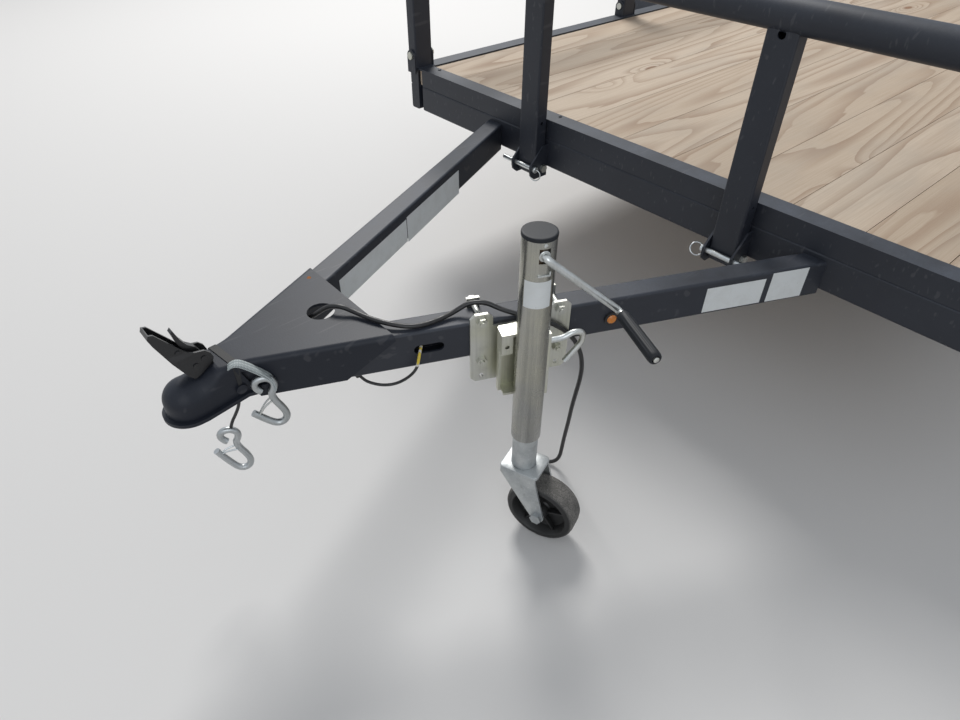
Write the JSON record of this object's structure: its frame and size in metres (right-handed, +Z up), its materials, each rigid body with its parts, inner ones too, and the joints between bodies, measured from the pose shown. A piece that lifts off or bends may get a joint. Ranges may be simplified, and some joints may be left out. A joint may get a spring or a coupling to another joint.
{
  "type": "utility trailer",
  "caption": "Single-axle utility trailer: rough-sawn deck, pipe-topped rails, A-frame tongue, swivel caster jack and ramp gate.",
  "frame": {"origin": "on the ground, under the middle of the overall length and width", "axes": "+X forward to the coupler, +Y to the trailer's left, where the jack is, +Z up"},
  "size_m": [4.275, 2.268, 1.655],
  "materials": {
    "frame_black": "satin black powder coat",
    "deck_wood": "rough sawn, weathered",
    "amber_lens": "clear gloss",
    "red_lens": "gloss",
    "rubber": "matt",
    "zinc": "bright zinc plate",
    "black_plastic": "moulded",
    "tyre": "matt",
    "wheel_silver": "silver paint",
    "webbing": "woven polyester",
    "cable_black": "satin sheath"
  },
  "bodies": {
    "root": {"side_members": "frame_black", "front_member": "frame_black", "rear_member": "frame_black", "front_angle": "frame_black", "rear_angle": "frame_black", "side_angles": "frame_black", "cross_members": "frame_black", "deck_boards": "deck_wood", "tongue_beam_left": "frame_black", "tongue_beam_right": "frame_black", "marker_lamps": "amber_lens", "marker_grommets": "rubber", "coupler": "frame_black", "coupler_latch": "zinc", "front_rail_pipe": "frame_black", "front_rail_posts": "frame_black", "front_rail_ears": "frame_black", "front_rail_bolts": "zinc", "front_rail_pins": "zinc", "side_rail_pipes": "frame_black", "side_rail_posts": "frame_black", "side_rail_ears": "frame_black", "side_rail_bolts": "zinc", "axle": "frame_black", "leaf_springs": "frame_black", "spring_hangers": "frame_black", "spring_bolts": "zinc", "spring_seats": "frame_black", "fender_left": "frame_black", "fender_right": "frame_black", "fender_brackets": "frame_black", "jack_base": "zinc", "gate_hinges": "frame_black", "tail_lamps": "red_lens", "harness_cord": "cable_black", "harness_plug": "cable_black", "wire_loop": "cable_black", "wiring_glands": "rubber", "safety_hooks": "zinc", "safety_cable": "cable_black", "safety_strap": "webbing"},
    "wheel_left": {"tyre_left": "tyre", "rim_left": "wheel_silver", "hub_left": "wheel_silver"},
    "wheel_right": {"tyre_right": "tyre", "rim_right": "wheel_silver", "hub_right": "wheel_silver"},
    "gate": {"gate_frame": "frame_black", "gate_rungs": "frame_black"},
    "jack": {"jack_swivel": "zinc", "jack_tube": "zinc", "jack_cap": "black_plastic", "jack_crank": "zinc", "jack_grip": "black_plastic", "pull_pin": "zinc"},
    "jack_leg": {"jack_leg": "zinc"},
    "fork": {"caster_fork": "zinc"},
    "caster": {"caster_wheel": "black_plastic"}
  },
  "joints": [
    {"name": "wheel_left_spin", "type": "hinge", "parent": "root", "child": "wheel_left", "pos_m": [-0.81447, 1.018, 0.3425], "axis": [0, 1, 0], "continuous": true},
    {"name": "wheel_right_spin", "type": "hinge", "parent": "root", "child": "wheel_right", "pos_m": [-0.81447, -1.018, 0.3425], "axis": [0, 1, 0], "continuous": true},
    {"name": "gate_fold", "type": "hinge", "parent": "root", "child": "gate", "pos_m": [-2.11848, 0, 0.54], "axis": [0, -1, 0], "range_deg": [0, 117]},
    {"name": "jack_swing", "type": "hinge", "parent": "root", "child": "jack", "pos_m": [1.57477, 0.25955, 0.461], "axis": [0.4226, 0.9063, 0], "range_deg": [-90, 0]},
    {"name": "jack_screw", "type": "slide", "parent": "jack", "child": "jack_leg", "axis": [0, 0, -1], "range_m": [-0.078, 0.171]},
    {"name": "caster_swivel", "type": "hinge", "parent": "jack_leg", "child": "fork", "pos_m": [1.5921, 0.29671, 0.19], "axis": [0, 0, -1], "continuous": true},
    {"name": "caster_roll", "type": "hinge", "parent": "fork", "child": "caster", "pos_m": [1.57431, 0.34557, 0.0762], "axis": [-0.9397, -0.342, 0], "continuous": true}
  ]
}
